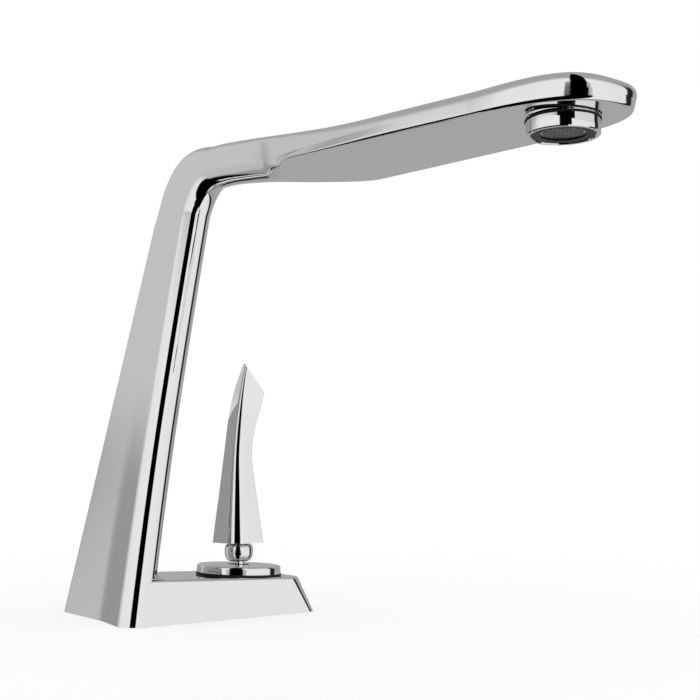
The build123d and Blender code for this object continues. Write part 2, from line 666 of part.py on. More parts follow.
# Lever: a four-sided stick that narrows to a waist and ends in an obliquely cut beak
lever_plane = Plane(
    origin=(0, 0, LEVER_FOOT_Z),
    x_dir=(cos(radians(LEVER_HEADING)), sin(radians(LEVER_HEADING)), 0),
    z_dir=(0, 0, 1),
)
cut_across = BEAK_ACROSS - SHOULDER_ACROSS
cut_rise = BEAK_RISE - SHOULDER_RISE
cut_plane = Plane(
    origin=lever_plane.from_local_coords((SHOULDER_ACROSS, 0, SHOULDER_RISE)),
    z_dir=lever_plane.x_dir * cut_rise - Vector(0, 0, cut_across),
)
grub_plane = Plane(
    origin=lever_plane.from_local_coords((0, 0, GRUB_RISE)),
    x_dir=lever_plane.x_dir,
    z_dir=lever_plane.y_dir,
)
with BuildPart() as lever_handle:
    for rise, heel, beak, ridge, half_thickness, ridge_r in LEVER_STATIONS:
        with BuildSketch(lever_plane.offset(rise)):
            with BuildLine():
                FilletPolyline(
                    (heel, 0),
                    (ridge, -half_thickness),
                    (beak, 0),
                    (ridge, half_thickness),
                    radius=(LEVER_SIDE_R, ridge_r, LEVER_SIDE_R, ridge_r),
                    close=True,
                )
            make_face()
    loft()
    split(bisect_by=cut_plane, keep=Keep.BOTTOM)
    with BuildSketch(lever_plane):
        Circle(STEM_R)
    extrude(amount=STEM_SOCKET_DEPTH, mode=Mode.SUBTRACT)
    with BuildSketch(grub_plane):
        Circle(GRUB_R)
    extrude(amount=4 * GRUB_LENGTH, mode=Mode.SUBTRACT)

with BuildPart() as lever_grub_screw:
    with BuildSketch(grub_plane.offset(STEM_R)):
        Circle(GRUB_R)
    extrude(amount=GRUB_LENGTH)
    with BuildSketch(grub_plane.offset(STEM_R + GRUB_LENGTH)):
        RegularPolygon(GRUB_SOCKET / 2, 6, major_radius=False)
    extrude(amount=-GRUB_SOCKET_DEPTH, mode=Mode.SUBTRACT)

# Cartridge nut, trim ring and cover disc
with BuildPart() as cartridge_nut:
    with BuildSketch(Plane.XY.offset(HOUSING_TOP_Z)):
        Circle(NUT_THREAD_R)
        Circle(NUT_BORE_R, mode=Mode.SUBTRACT)
    extrude(amount=NUT_HEIGHT)
    with BuildSketch(Plane.XY.offset(HOUSING_TOP_Z + NUT_HEIGHT)):
        Rectangle(2 * NUT_THREAD_R, NUT_SLOT)
        Rectangle(NUT_SLOT, 2 * NUT_THREAD_R)
    extrude(amount=-NUT_SLOT_DEPTH, mode=Mode.SUBTRACT)

spigot_foot_z = HOUSING_TOP_Z + NUT_HEIGHT + BODY_GAP
with BuildPart() as trim_ring:
    with BuildSketch(foot_plane):
        Circle(TRIM_RING_R)
        Circle(nut_bore_r + RUNNING, mode=Mode.SUBTRACT)
    extrude(amount=TRIM_RING_THICKNESS)

cover_plane = foot_plane.offset(TRIM_RING_THICKNESS)
with BuildPart() as cover_disc:
    with BuildSketch(cover_plane):
        Circle(COVER_R)
    extrude(amount=COVER_THICKNESS)
    fillet(cover_disc.faces().sort_by(Axis.Z)[-1].edges(), radius=COVER_EDGE_R)
    with BuildSketch(Plane.XY.offset(spigot_foot_z)):
        Circle(NUT_THREAD_R)
    extrude(amount=cover_plane.origin.Z + COVER_THICKNESS / 2 - spigot_foot_z)
    with BuildSketch(Plane.XY.offset(spigot_foot_z)):
        Circle(NUT_THREAD_R - COVER_SPIGOT_WALL)
    extrude(amount=cover_plane.origin.Z + COVER_THICKNESS - COVER_CROWN - spigot_foot_z, mode=Mode.SUBTRACT)
    with BuildSketch(Plane.XY.offset(spigot_foot_z)):
        Circle(COVER_HOLE_R)
    extrude(amount=2 * FOOT_HEIGHT, mode=Mode.SUBTRACT)

# Aerator: gasket, screwed collar, plastic cage, mesh and flow regulator
with BuildPart() as aerator_gasket:
    with BuildSketch(Plane.XY.offset(AERATOR_GASKET_Z)):
        with Locations(aerator_spot):
            Circle(BOSS_R)
            Circle(nipple_r, mode=Mode.SUBTRACT)
    extrude(amount=AERATOR_GASKET)

with BuildPart() as aerator_collar:
    with BuildSketch(Plane.XY.offset(collar_foot_z)):
        with Locations(aerator_spot):
            Circle(COLLAR_R)
            Circle(COLLAR_MOUTH_R, mode=Mode.SUBTRACT)
    extrude(amount=COLLAR_HEIGHT)
    chamfer(aerator_collar.faces().sort_by(Axis.Z)[0].edges(), length=COLLAR_EDGE)
    with BuildSketch(Plane.XY.offset(lip_top_z)):
        with Locations(aerator_spot):
            Circle(COLLAR_THREAD_R)
    extrude(amount=COLLAR_HEIGHT, mode=Mode.SUBTRACT)

cage_face_z = collar_foot_z + CAGE_RECESS
cage_top_z = cage_face_z + CAGE_HEIGHT
with BuildPart() as aerator_insert:
    with BuildSketch(Plane.XY.offset(cage_face_z)):
        with Locations(aerator_spot):
            Circle(COLLAR_MOUTH_R - RUNNING)
    extrude(amount=lip_top_z - cage_face_z)
    with BuildSketch(Plane.XY.offset(lip_top_z)):
        with Locations(aerator_spot):
            Circle(nipple_r)
    extrude(amount=CAGE_FLANGE)
    with BuildSketch(Plane.XY.offset(lip_top_z)):
        with Locations(aerator_spot):
            Circle(nipple_bore_r - RUNNING)
    extrude(amount=cage_top_z - lip_top_z)
    with BuildSketch(Plane.XY.offset(cage_face_z)):
        with Locations(aerator_spot):
            Circle(MESH_R)
    extrude(amount=CAGE_HEIGHT - REGULATOR_THICKNESS, mode=Mode.SUBTRACT)
    with BuildSketch(Plane.XY.offset(cage_face_z)):
        with Locations(aerator_spot):
            Circle(REGULATOR_R)
    extrude(amount=CAGE_HEIGHT, mode=Mode.SUBTRACT)

with BuildPart() as flow_regulator:
    with BuildSketch(Plane.XY.offset(cage_top_z - REGULATOR_THICKNESS)):
        with Locations(aerator_spot):
            Circle(REGULATOR_R)
            with PolarLocations(REGULATOR_CIRCLE_R, REGULATOR_HOLES):
                Circle(REGULATOR_HOLE_R, mode=Mode.SUBTRACT)
    extrude(amount=REGULATOR_THICKNESS)

mesh_foot_z = cage_face_z + MESH_RECESS
bar_layer = MESH_THICKNESS / 2
mesh_bars = int(2 * (MESH_R - MESH_BAR) / MESH_PITCH)
with BuildPart() as aerator_mesh:
    with BuildSketch(Plane.XY.offset(mesh_foot_z)):
        with Locations(aerator_spot):
            Circle(MESH_R)
            Circle(MESH_R - 2 * MESH_BAR, mode=Mode.SUBTRACT)
    extrude(amount=MESH_THICKNESS)
    for layer, slant in enumerate((45, -45)):
        with BuildSketch(Plane.XY.offset(mesh_foot_z + layer * bar_layer)):
            with Locations(Location((*aerator_spot, 0), (0, 0, slant))):
                with GridLocations(MESH_PITCH, 0, mesh_bars, 1):
                    Rectangle(MESH_BAR, 2 * MESH_R)
            with Locations(aerator_spot):
                Circle(MESH_R, mode=Mode.INTERSECT)
        extrude(amount=bar_layer)

pieces = {
    "body_casting": body_casting,
    "deck_gasket": deck_gasket,
    "rubber_washer": rubber_washer,
    "steel_washer": steel_washer,
    "shank_nut": shank_nut,
    "cartridge_housing": cartridge_housing,
    "cartridge_base": cartridge_base,
    "cartridge_o_ring": cartridge_o_ring,
    "inlet_seals": inlet_seals,
    "fixed_ceramic_disc": fixed_ceramic_disc,
    "moving_ceramic_disc": moving_ceramic_disc,
    "disc_carrier": disc_carrier,
    "spindle_carrier": spindle_carrier,
    "pivot_pin": pivot_pin,
    "lever_stem": lever_stem,
    "ball_collar": ball_collar,
    "lever_handle": lever_handle,
    "lever_grub_screw": lever_grub_screw,
    "cartridge_nut": cartridge_nut,
    "trim_ring": trim_ring,
    "cover_disc": cover_disc,
    "aerator_gasket": aerator_gasket,
    "aerator_collar": aerator_collar,
    "aerator_insert": aerator_insert,
    "aerator_mesh": aerator_mesh,
    "flow_regulator": flow_regulator,
}
for name, piece in pieces.items():
    piece.part.label = name
    export_step(piece.part, f"parts/{name}.step")
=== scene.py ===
"""Looks of a single-lever basin mixer: polished chrome, black rubber and plastic, on a pale deck."""

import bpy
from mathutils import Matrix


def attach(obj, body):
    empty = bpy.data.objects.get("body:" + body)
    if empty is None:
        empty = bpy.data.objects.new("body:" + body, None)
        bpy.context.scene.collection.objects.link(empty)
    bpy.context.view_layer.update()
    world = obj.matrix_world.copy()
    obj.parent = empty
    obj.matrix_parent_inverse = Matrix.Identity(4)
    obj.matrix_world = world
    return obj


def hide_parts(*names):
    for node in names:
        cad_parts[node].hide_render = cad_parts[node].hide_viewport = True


bl_info = {
    "name": "Basin mixer",
    "version": (1, 0, 0),
    "blender": (4, 5, 0),
    "location": "View3D > Sidebar > Basin mixer",
    "description": "Dresses a single-lever basin mixer and sets up its deck, light and camera",
    "category": "Object",
}

from math import cos, pi, radians, sin, tan

import bmesh
import bpy
from bpy.props import FloatProperty, FloatVectorProperty, PointerProperty
from mathutils import Vector

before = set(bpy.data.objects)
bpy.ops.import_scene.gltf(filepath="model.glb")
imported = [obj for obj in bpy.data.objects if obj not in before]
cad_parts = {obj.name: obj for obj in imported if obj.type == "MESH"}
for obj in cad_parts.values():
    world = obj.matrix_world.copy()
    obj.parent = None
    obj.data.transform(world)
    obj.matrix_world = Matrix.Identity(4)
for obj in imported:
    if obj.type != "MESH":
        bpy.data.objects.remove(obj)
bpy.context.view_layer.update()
MM = 0.001
PHOTO_PIXELS = 700           # the photograph's width, which the focal length belongs to
SENSOR = 36.0
CHROME_SWING = 0.3           # share by which the chrome's roughness varies
GRAIN_SWING = 0.15           # and that of the other finishes


def linear(hex_colour):
    """A colour written as an sRGB hex value, in linear light."""
    parts = [int(hex_colour[i:i + 2], 16) / 255 for i in (1, 3, 5)]
    return tuple(p / 12.92 if p <= 0.04045 else ((p + 0.055) / 1.055) ** 2.4 for p in parts)


def colour_property(name, hex_colour):
    """A colour that can be set in the panel."""
    return FloatVectorProperty(
        name=name, description=f"Base colour of the {name.lower()}", subtype="COLOR",
        size=3, min=0.0, max=1.0, default=linear(hex_colour),
    )


class MixerFinish(bpy.types.PropertyGroup):
    """Colours and surface sizes of the finishes."""
    chrome: colour_property("Chrome plate", "#E9EAEB")
    rubber: colour_property("Black rubber", "#0B0B0C")
    abs_plastic: colour_property("Black ABS", "#0E0E10")
    stainless: colour_property("Stainless steel", "#B9B9B6")
    brass: colour_property("Turned brass", "#C9A35A")
    acetal: colour_property("White acetal", "#E4E3DE")
    alumina: colour_property("Alumina ceramic", "#EFEDE6")
    chrome_roughness: FloatProperty(
        name="Chrome roughness", description="Roughness of the plated surface",
        default=0.03, min=0.0, max=1.0, subtype="FACTOR",
    )
    polish_mm: FloatProperty(
        name="Polish ripple", description="Length of the faint ripple that buffing leaves, in millimetres",
        default=9.0, min=0.5, max=50.0,
    )


class MixerStudio(bpy.types.PropertyGroup):
    """The camera and the light of the photograph."""
    camera_place: FloatVectorProperty(
        name="Camera place", description="Where the camera stands", subtype="XYZ",
        unit="LENGTH", size=3, default=(-0.3046, -0.4830, 0.0720),
    )
    heading: FloatProperty(
        name="Heading", description="Direction of view, clockwise from +Y",
        subtype="ANGLE", default=radians(37.55),
    )
    pitch: FloatProperty(
        name="Pitch", description="How far the camera looks up", subtype="ANGLE", default=radians(5.25),
    )
    focal_pixels: FloatProperty(
        name="Focal length", description="Focal length in pixels of the photograph",
        default=1182.0, min=100.0,
    )
    deck_radius: FloatProperty(
        name="Deck radius", description="Where the pale deck has faded out", unit="LENGTH", default=0.4,
    )


def add_node(tree, kind, links=(), **settings):
    """Adds a node; links feed its inputs or give them values, and settings are its own attributes."""
    node = tree.nodes.new(kind)
    for key, value in settings.items():
        setattr(node, key, value)
    for socket, value in dict(links).items():
        if isinstance(value, bpy.types.NodeSocket):
            tree.links.new(value, node.inputs[socket])
        else:
            node.inputs[socket].default_value = value
    return node


def new_material(name):
    """An empty material and its node tree."""
    material = bpy.data.materials.new(name)
    material.use_nodes = True
    tree = material.node_tree
    tree.nodes.clear()
    return material, tree


def finish_material(tree, shader):
    """Shows a shader on the surface."""
    add_node(tree, "ShaderNodeOutputMaterial", {"Surface": shader.outputs["BSDF"]})


def rgba(colour):
    """A colour with full alpha."""
    return (*colour, 1.0)


def grey(brightness):
    """A grey with full alpha."""
    return (brightness, brightness, brightness, 1.0)


def polished_chrome(finish):
    """Chrome plate over buffed brass: a mirror whose reflections swim a little where the wheel has been."""
    material, tree = new_material("polished_chrome_plate")
    place = add_node(tree, "ShaderNodeTexCoord")
    ripple = add_node(tree, "ShaderNodeTexNoise", {
        "Vector": place.outputs["Object"], "Scale": 1 / (finish.polish_mm * MM), "Detail": 1.0,
    })
    haze = add_node(tree, "ShaderNodeMapRange", {
        "Value": ripple.outputs["Fac"],
        "To Min": finish.chrome_roughness * (1 - CHROME_SWING),
        "To Max": finish.chrome_roughness * (1 + CHROME_SWING),
    })
    bump = add_node(tree, "ShaderNodeBump", {
        "Height": ripple.outputs["Fac"], "Strength": 0.05, "Distance": 0.02 * MM,
    })
    shader = add_node(tree, "ShaderNodeBsdfPrincipled", {
        "Base Color": rgba(finish.chrome), "Metallic": 1.0,
        "Roughness": haze.outputs["Result"], "Normal": bump.outputs["Normal"],
    })
    finish_material(tree, shader)
    return material


def grained(name, colour, grain_mm, depth_mm, roughness, spread, **sockets):
    """A surface with a fine grain in its colour, roughness and relief.

    spread is the share by which the colour varies, and sockets are further inputs of the shader.
    """
    material, tree = new_material(name)
    place = add_node(tree, "ShaderNodeTexCoord")
    grain = add_node(tree, "ShaderNodeTexNoise", {
        "Vector": place.outputs["Object"], "Scale": 1 / (grain_mm * MM), "Detail": 3.0,
    })
    shade = add_node(tree, "ShaderNodeMixRGB", {
        "Fac": grain.outputs["Fac"],
        "Color1": rgba([c * (1 - spread) for c in colour]),
        "Color2": rgba([min(c * (1 + spread), 1.0) for c in colour]),
    })
    gloss = add_node(tree, "ShaderNodeMapRange", {
        "Value": grain.outputs["Fac"],
        "To Min": roughness * (1 - GRAIN_SWING), "To Max": roughness * (1 + GRAIN_SWING),
    })
    bump = add_node(tree, "ShaderNodeBump", {
        "Height": grain.outputs["Fac"], "Strength": 0.4, "Distance": depth_mm * MM,
    })
    shader = add_node(tree, "ShaderNodeBsdfPrincipled", {
        "Base Color": shade.outputs["Color"], "Roughness": gloss.outputs["Result"],
        "Normal": bump.outputs["Normal"], **sockets,
    })
    finish_material(tree, shader)
    return material


def moulded_rubber(finish):
    """Nitrile rubber, moulded: nearly black, matte with a soft sheen and a fine mould grain."""
    return grained(
        "moulded_nitrile_rubber", finish.rubber, grain_mm=0.4, depth_mm=0.02, roughness=0.62, spread=0.25,
    )


def moulded_abs(finish):
    """Black ABS, injection moulded: smooth and a little glossy."""
    return grained(
        "moulded_black_abs", finish.abs_plastic, grain_mm=0.8, depth_mm=0.01, roughness=0.32, spread=0.15,
        **{"Specular IOR Level": 0.15},
    )


def drawn_stainless(finish):
    """Stainless steel, drawn and rolled: a satin metal."""
    return grained(
        "drawn_stainless_steel", finish.stainless, grain_mm=0.5, depth_mm=0.01, roughness=0.28, spread=0.08,
        Metallic=1.0,
    )


def turned_brass(finish):
    """Brass, turned and left bare: a warm satin metal."""
    return grained(
        "turned_brass", finish.brass, grain_mm=0.6, depth_mm=0.01, roughness=0.3, spread=0.08, Metallic=1.0,
    )


def moulded_acetal(finish):
    """White acetal, moulded: smooth and waxy."""
    return grained(
        "moulded_white_acetal", finish.acetal, grain_mm=1.0, depth_mm=0.01, roughness=0.42, spread=0.03,
    )


def lapped_alumina(finish):
    """Alumina, sintered and lapped: hard, white and smooth on its face."""
    return grained(
        "lapped_alumina", finish.alumina, grain_mm=0.6, depth_mm=0.004, roughness=0.2, spread=0.02,
    )


def dress(node, material):
    """Gives a node of the frame its finish."""
    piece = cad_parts[node]
    piece.data.materials.clear()
    piece.data.materials.append(material)


# Shapes are drawn in millimetres. Two places in brackets are where a change starts and where it is complete.
AERATOR = (-23.85, -230.1)   # the aerator's axis
SPOUT_X = AERATOR[0]

COLUMN_HEIGHT = 197.7        # where the leaning column's middle would reach the spout's
COLUMN_FOOT_X, COLUMN_BOW = -62.7, 3.4
COLUMN_HALF, COLUMN_TAPER = 7.7, 0.4
NOSE_CENTRE_Y, NOSE_LEAN = -11.8, 12.6
NOSE_SPREAD = 1.5            # at the deck the nose's tip stands this far to the right and ahead
NOSE_SPREAD_END_Z = 90.0
BACK_Y, BACK_LEAN, BACK_BOW, BACK_HEIGHT = 51.0, 23.7, 8.0, 190.0
BACK_R = 3.0                 # rounding of the column's two back edges
FLANK_PINCH = 4.35           # at the deck the left flank is drawn in by this towards the back
FLANK_BREAK = 0.42           # a facet along that flank ends this share of the way to the back
FACET_END_Z = 125.0          # and runs out at this height
COLUMN_CREASE_R, SPOUT_CREASE_R, PLAIN_CREASE_R = 5.0, 0.3, 0.2

BEND_Z = 186.0               # where the column ends and the bend starts
BEND_INNER_R = 11.0
BEND_REACH = (
    # degrees above level; how far the bend's outer side is from its centre
    (-22.5, 46.0), (0.0, 45.4), (22.5, 43.9), (45.0, 39.2), (67.5, 33.5), (90.0, 30.0), (112.5, 31.0),
)

UNDER_Z, UNDER_SLOPE = 181.4, 0.057    # the spout's underside: its height at the aerator and its slope
UNDER_RISE, UNDER_RISES = 3.6, (-80.0, -25.0)    # how far it rises towards the bend, and where
OVER_Z, OVER_SLOPE = 190.2, 0.058      # the same for the top
OVER_RISE, OVER_RISES = 13.1, (-165.0, -20.0)
NECK_HALF = 7.3
PADDLE_HALF, PADDLE_TAPER = 27.3, 0.042
FLARE = (-60.0, -104.0)      # the neck widens into the paddle: the underside's right edge
TOP_FLARE = (-50.0, -145.0)  # the top's right edge
LEFT_FLARE = (-66.0, -116.0)
LEFT_TOP_FLARE = (-40.0, -170.0)
EDGE_SHARPENS = (-50.0, -110.0)  # the underside's edges, from the round neck to the paddle
FACET_FADES = (-125.0, -185.0)   # the facet along the left side
TOP_INSET = 1.2              # the paddle's top is narrower than its underside by this, on each side
LOWER_R, UPPER_R = 1.4, 3.8  # rounding of the paddle's edges
TIP_CENTRE_Y = -209.0        # the end of the paddle is drawn round this point
TIP_LENGTH = 44.2
TIP_SLOPE = 0.0575
TIP_POWERS = (2.35, 3.3)     # of the superellipses at the underside and the top

FLAT_STEPS, CORNER_STEPS, EDGE_STEPS = 6, 10, 8    # points along the parts of a section
COLUMN_STEPS, BEND_STEPS, SPOUT_STEPS, TIP_STEPS = 60, 40, 120, 72
CIRCLE_STEPS = 96


def blend(value, start, end):
    """0 at start and before it, 1 at end and past it, smooth between."""
    share = min(max((value - start) / (end - start), 0.0), 1.0)
    return share * share * (3.0 - 2.0 * share)


def through(knots, place):
    """A smooth value at this place, through knots of (place, value)."""
    last = len(knots) - 1
    index = next((i for i in range(last) if place < knots[i + 1][0]), last - 1)

    def slope(i):
        before, after = knots[max(i - 1, 0)], knots[min(i + 1, last)]
        return (after[1] - before[1]) / (after[0] - before[0])

    (start, low), (end, high) = knots[index], knots[index + 1]
    length = end - start
    t = (place - start) / length
    return (low * (1 + 2 * t) * (1 - t) ** 2 + high * t * t * (3 - 2 * t)
            + slope(index) * length * t * (1 - t) ** 2 + slope(index + 1) * length * t * t * (t - 1))


def column_x(z):
    """Where the column's middle stands at this height."""
    share = z / COLUMN_HEIGHT
    return COLUMN_FOOT_X + (SPOUT_X - COLUMN_FOOT_X) * share - COLUMN_BOW * share * (1 - share)


def column_half(z):
    """Half the column's width."""
    return COLUMN_HALF - COLUMN_TAPER * z / COLUMN_HEIGHT


def nose_spread(z):
    """How far the nose's tip is moved to the right and ahead."""
    return NOSE_SPREAD * max(1 - z / NOSE_SPREAD_END_Z, 0.0) ** 1.5


def column_front(z):
    """Where the nose's tip stands."""
    return NOSE_CENTRE_Y + NOSE_LEAN * z / COLUMN_HEIGHT - column_half(z) - nose_spread(z)


def column_back(z):
    """Where the column's flat back stands."""
    share = z / BACK_HEIGHT
    return BACK_Y - BACK_LEAN * share - BACK_BOW * share * (1 - share)


def spout_under(y):
    """Height of the spout's underside."""
    return UNDER_Z + UNDER_SLOPE * (y - AERATOR[1]) + UNDER_RISE * blend(y, *UNDER_RISES)


def spout_over(y):
    """Height of the spout's top."""
    return OVER_Z + OVER_SLOPE * (y - AERATOR[1]) + OVER_RISE * blend(y, *OVER_RISES)


def spout_half(y, flare):
    """Half the spout's width, widening from the neck to the paddle between two places."""
    paddle = PADDLE_HALF + PADDLE_TAPER * min(y - FLARE[1], 0.0)
    return NECK_HALF + (paddle - NECK_HALF) * blend(y, *flare)


def half_profile(under, over, low, high, lower_r, upper_r, pinch=0.0, crease_r=PLAIN_CREASE_R):
    """One side of a section, from the middle of its underside round to the middle of its top.

    under and over are its half widths at the heights low and high. The side may be pinched in
    between them, so that its foot is a facet that meets the rest in a crease of this softness.
    """
    across = Vector((1.0, 0.0))
    foot = Vector((under, low))
    head = Vector((over, high))
    crease = foot.lerp(head, FLANK_BREAK) - across * pinch
    facet = (crease - foot).normalized()
    side = (head - crease).normalized()
    flat_end, top_start = foot - across * lower_r, head - across * upper_r
    points = [Vector((0.0, low)).lerp(flat_end, i / FLAT_STEPS) for i in range(FLAT_STEPS)]
    points += rounded(flat_end, foot, foot + facet * lower_r, CORNER_STEPS)
    points += rounded(crease - facet * crease_r, crease, crease + side * crease_r, EDGE_STEPS)
    points += rounded(head - side * upper_r, head, top_start, EDGE_STEPS)
    points += [top_start.lerp(Vector((0.0, high)), i / FLAT_STEPS) for i in range(1, FLAT_STEPS + 1)]
    return points


def rounded(start, corner, end, steps):
    """Points along the arc that rounds a corner, from one side to the other."""
    weight = ((start - corner).normalized() - (end - corner).normalized()).length / 2
    points = []
    for step in range(steps + 1):
        t = step / steps
        shares = ((1 - t) ** 2, 2 * t * (1 - t) * weight, t * t)
        points.append((start * shares[0] + corner * shares[1] + end * shares[2]) / sum(shares))
    return points


def ring(x, inner, outer, right, left):
    """Lays the two sides of a section between an inner and an outer point, both (y, z)."""
    length = (outer - inner).length
    out = (outer - inner) / length

    def place(side, point):
        spot = inner + out * point.y
        return Vector((x + side * point.x, spot.x, spot.y))

    return [place(1, p) for p in right] + [place(-1, p) for p in reversed(left[1:-1])]


def column_ring(z):
    """A section of the column: a round nose, two flanks, of which the left is pinched in, and a flat back."""
    half, spread = column_half(z), nose_spread(z)
    pinch = FLANK_PINCH * (1 - z / BEND_Z)
    facet = pinch * (1 - FLANK_BREAK) * max(1 - z / FACET_END_Z, 0.0)
    inner = Vector((column_front(z), z))
    outer = Vector((column_back(z), z))
    depth = (outer - inner).length
    right = half_profile(half - spread, half - spread, 0.0, depth, half - spread, BACK_R)
    left = half_profile(
        half + spread, half + spread - pinch, 0.0, depth, half + spread, BACK_R, facet, COLUMN_CREASE_R,
    )
    return ring(column_x(z) + spread, inner, outer, right, left)


def bend_ring(angle):
    """A section of the bend, at this angle above level in degrees; the column's lean runs out on its way."""
    centre = Vector((column_front(BEND_Z) - BEND_INNER_R, BEND_Z))
    reach = through(BEND_REACH, angle)
    out = Vector((cos(radians(angle)), sin(radians(angle))))
    side = half_profile(NECK_HALF, NECK_HALF, 0.0, reach - BEND_INNER_R, NECK_HALF, BACK_R)
    points = ring(SPOUT_X, centre + out * BEND_INNER_R, centre + out * reach, side, side)
    for point in points:
        lean = max(1 - (point.z - BEND_Z) / (2 * (COLUMN_HEIGHT - BEND_Z)), 0.0) ** 2
        point.x += (column_x(BEND_Z) - SPOUT_X) * lean * (1 - angle / 90)
    return points


def spout_side(y, flare=FLARE, top_flare=TOP_FLARE, pinched=0.0):
    """One side of the spout's section; pinched draws its upper part in and leaves a facet below."""
    under = spout_half(y, flare)
    over = spout_half(y, top_flare) - TOP_INSET * blend(y, *TOP_FLARE)
    lower_r = NECK_HALF + (LOWER_R - NECK_HALF) * blend(y, *EDGE_SHARPENS)
    upper_r = BACK_R + (UPPER_R - BACK_R) * blend(y, *TOP_FLARE)
    pinch = pinched * (1 - FLANK_BREAK) * max(under - over, 0.0)
    return half_profile(
        under, over, spout_under(y), spout_over(y), lower_r, upper_r, pinch, SPOUT_CREASE_R,
    )


def spout_ring(y):
    """A section of the neck or the paddle, up to the tip's centre."""
    right = spout_side(y)
    left = spout_side(y, LEFT_FLARE, LEFT_TOP_FLARE, 1 - blend(y, *FACET_FADES))
    for point in (*right, *left):
        point.y -= spout_under(y)
    return ring(SPOUT_X, Vector((y, spout_under(y))), Vector((y, spout_over(y))), right, left)


def superellipse(angle, half, power):
    """How far the paddle's rounded end reaches from its centre, at this angle from straight ahead."""
    across = abs(sin(angle)) / half
    ahead = abs(cos(angle)) / TIP_LENGTH
    return (across ** power + ahead ** power) ** (-1 / power)


def tip_half_ring(angle):
    """A section from the tip's centre outwards, at this angle from straight ahead."""
    under = spout_half(TIP_CENTRE_Y, FLARE)
    over = under - TOP_INSET
    reach = [superellipse(angle, half, power) for half, power in zip((under, over), TIP_POWERS)]
    low, high = spout_under(TIP_CENTRE_Y), spout_over(TIP_CENTRE_Y)
    points = []
    for point in half_profile(reach[0], reach[1], low, high, LOWER_R, UPPER_R):
        spot = Vector((SPOUT_X + sin(angle) * point.x, TIP_CENTRE_Y - cos(angle) * point.x, point.y))
        spot.z += TIP_SLOPE * (spot.y - TIP_CENTRE_Y)
        points.append(spot)
    return points


def circle(radius, centre=(0.0, 0.0)):
    """Points round a circle."""
    turns = (2 * pi * i / CIRCLE_STEPS for i in range(CIRCLE_STEPS))
    return [Vector((centre[0] + radius * cos(turn), centre[1] + radius * sin(turn))) for turn in turns]


def lay_rows(shape, rows, closed=False):
    """Lays faces between rows of points that have the same count; closed joins the ends of each row."""
    laid = [[shape.verts.new(point * MM) for point in row] for row in rows]
    for row, following in zip(laid, laid[1:]):
        for i in range(len(row) if closed else len(row) - 1):
            j = (i + 1) % len(row)
            shape.faces.new((row[i], row[j], following[j], following[i]))
    return laid


WELD = 0.002                 # points closer than this are one
SHARP_ANGLE = radians(40)    # shading breaks at edges sharper than this


def add_piece(name, shape, material, node, body=None):
    """Turns a bmesh into a smooth piece that stands for a node."""
    bmesh.ops.remove_doubles(shape, verts=shape.verts, dist=WELD * MM)
    bmesh.ops.recalc_face_normals(shape, faces=shape.faces)
    mesh = bpy.data.meshes.new(name)
    shape.to_mesh(mesh)
    shape.free()
    mesh.shade_smooth()
    mesh.set_sharp_from_angle(angle=SHARP_ANGLE)
    piece = bpy.data.objects.new(name, mesh)
    bpy.context.scene.collection.objects.link(piece)
    mesh.materials.append(material)
    smooth = piece.modifiers.new("smooth", "WEIGHTED_NORMAL")
    smooth.weight = 60
    smooth.keep_sharp = True
    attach(piece, body or "root")
    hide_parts(node)
    return piece


LEVER_HEADING = radians(-38)
LEVER_FOOT_Z = 32.2
LEVER_LEFT = (
    # rise above the lever's foot; where the left edge stands
    (0.0, -12.7), (13.5, -11.1), (24.9, -9.65), (36.3, -8.35), (47.7, -7.05), (59.2, -5.65), (70.8, -3.35),
    (79.5, -0.6), (85.5, 1.65), (91.0, 4.4),
)
LEVER_RIGHT = (
    # and the right edge
    (0.0, 11.75), (13.5, 9.7), (24.9, 8.0), (36.3, 6.4), (42.0, 5.9), (47.7, 6.25), (53.5, 7.25),
    (59.2, 8.85), (65.0, 10.4), (70.8, 11.95), (79.5, 13.2), (91.0, 14.0),
)
LEVER_RIDGE = (
    # where the front and the back ridge stand
    (0.0, 0.0), (21.0, -0.3), (42.0, -0.4), (56.0, -0.2), (71.0, 1.0), (86.0, 3.2), (91.0, 4.9),
)
LEVER_THICKNESS = (
    # how far each ridge is from the plane of the edges
    (0.0, 11.75), (21.0, 9.3), (42.0, 6.9), (56.0, 5.8), (71.0, 4.9), (86.0, 4.0), (91.0, 3.6),
)
LEVER_RIDGE_R = (
    # rounding of the ridges
    (0.0, 9.0), (21.0, 7.0), (42.0, 4.6), (56.0, 3.6), (71.0, 2.2), (86.0, 1.0), (91.0, 0.7),
)
LEVER_EDGE_R = 0.35
LEVER_ARC_SHARE = 0.8        # of a side, the most that a rounding takes up
LEVER_TOP = 88.0
LEVER_STEPS, LEVER_ARC_STEPS = 88, 14
LEVER_SHOULDER = (12.0, 71.2)    # the oblique cut that leaves the beak starts here, on the right edge
LEVER_CUT = (0.667345, -0.478347, 0.570820)    # direction that the cut faces


def lever_ring(rise):
    """A section of the lever: a diamond with two rounded ridges and two keen edges."""
    left, right, ridge, thick, ridge_r = (
        through(knots, rise)
        for knots in (LEVER_LEFT, LEVER_RIGHT, LEVER_RIDGE, LEVER_THICKNESS, LEVER_RIDGE_R)
    )
    corners = [Vector((right, 0)), Vector((ridge, thick)), Vector((left, 0)), Vector((ridge, -thick))]
    points = []
    for index, corner in enumerate(corners):
        back, ahead = corners[index - 1] - corner, corners[(index + 1) % 4] - corner
        radius = ridge_r if index % 2 else LEVER_EDGE_R
        cut = min(radius / tan(back.angle(ahead) / 2), LEVER_ARC_SHARE * min(back.length, ahead.length))
        points += rounded(
            corner + back.normalized() * cut, corner, corner + ahead.normalized() * cut, LEVER_ARC_STEPS,
        )
    return [
        Vector((p.x * cos(LEVER_HEADING) - p.y * sin(LEVER_HEADING),
                p.x * sin(LEVER_HEADING) + p.y * cos(LEVER_HEADING), LEVER_FOOT_Z + rise))
        for p in points
    ]


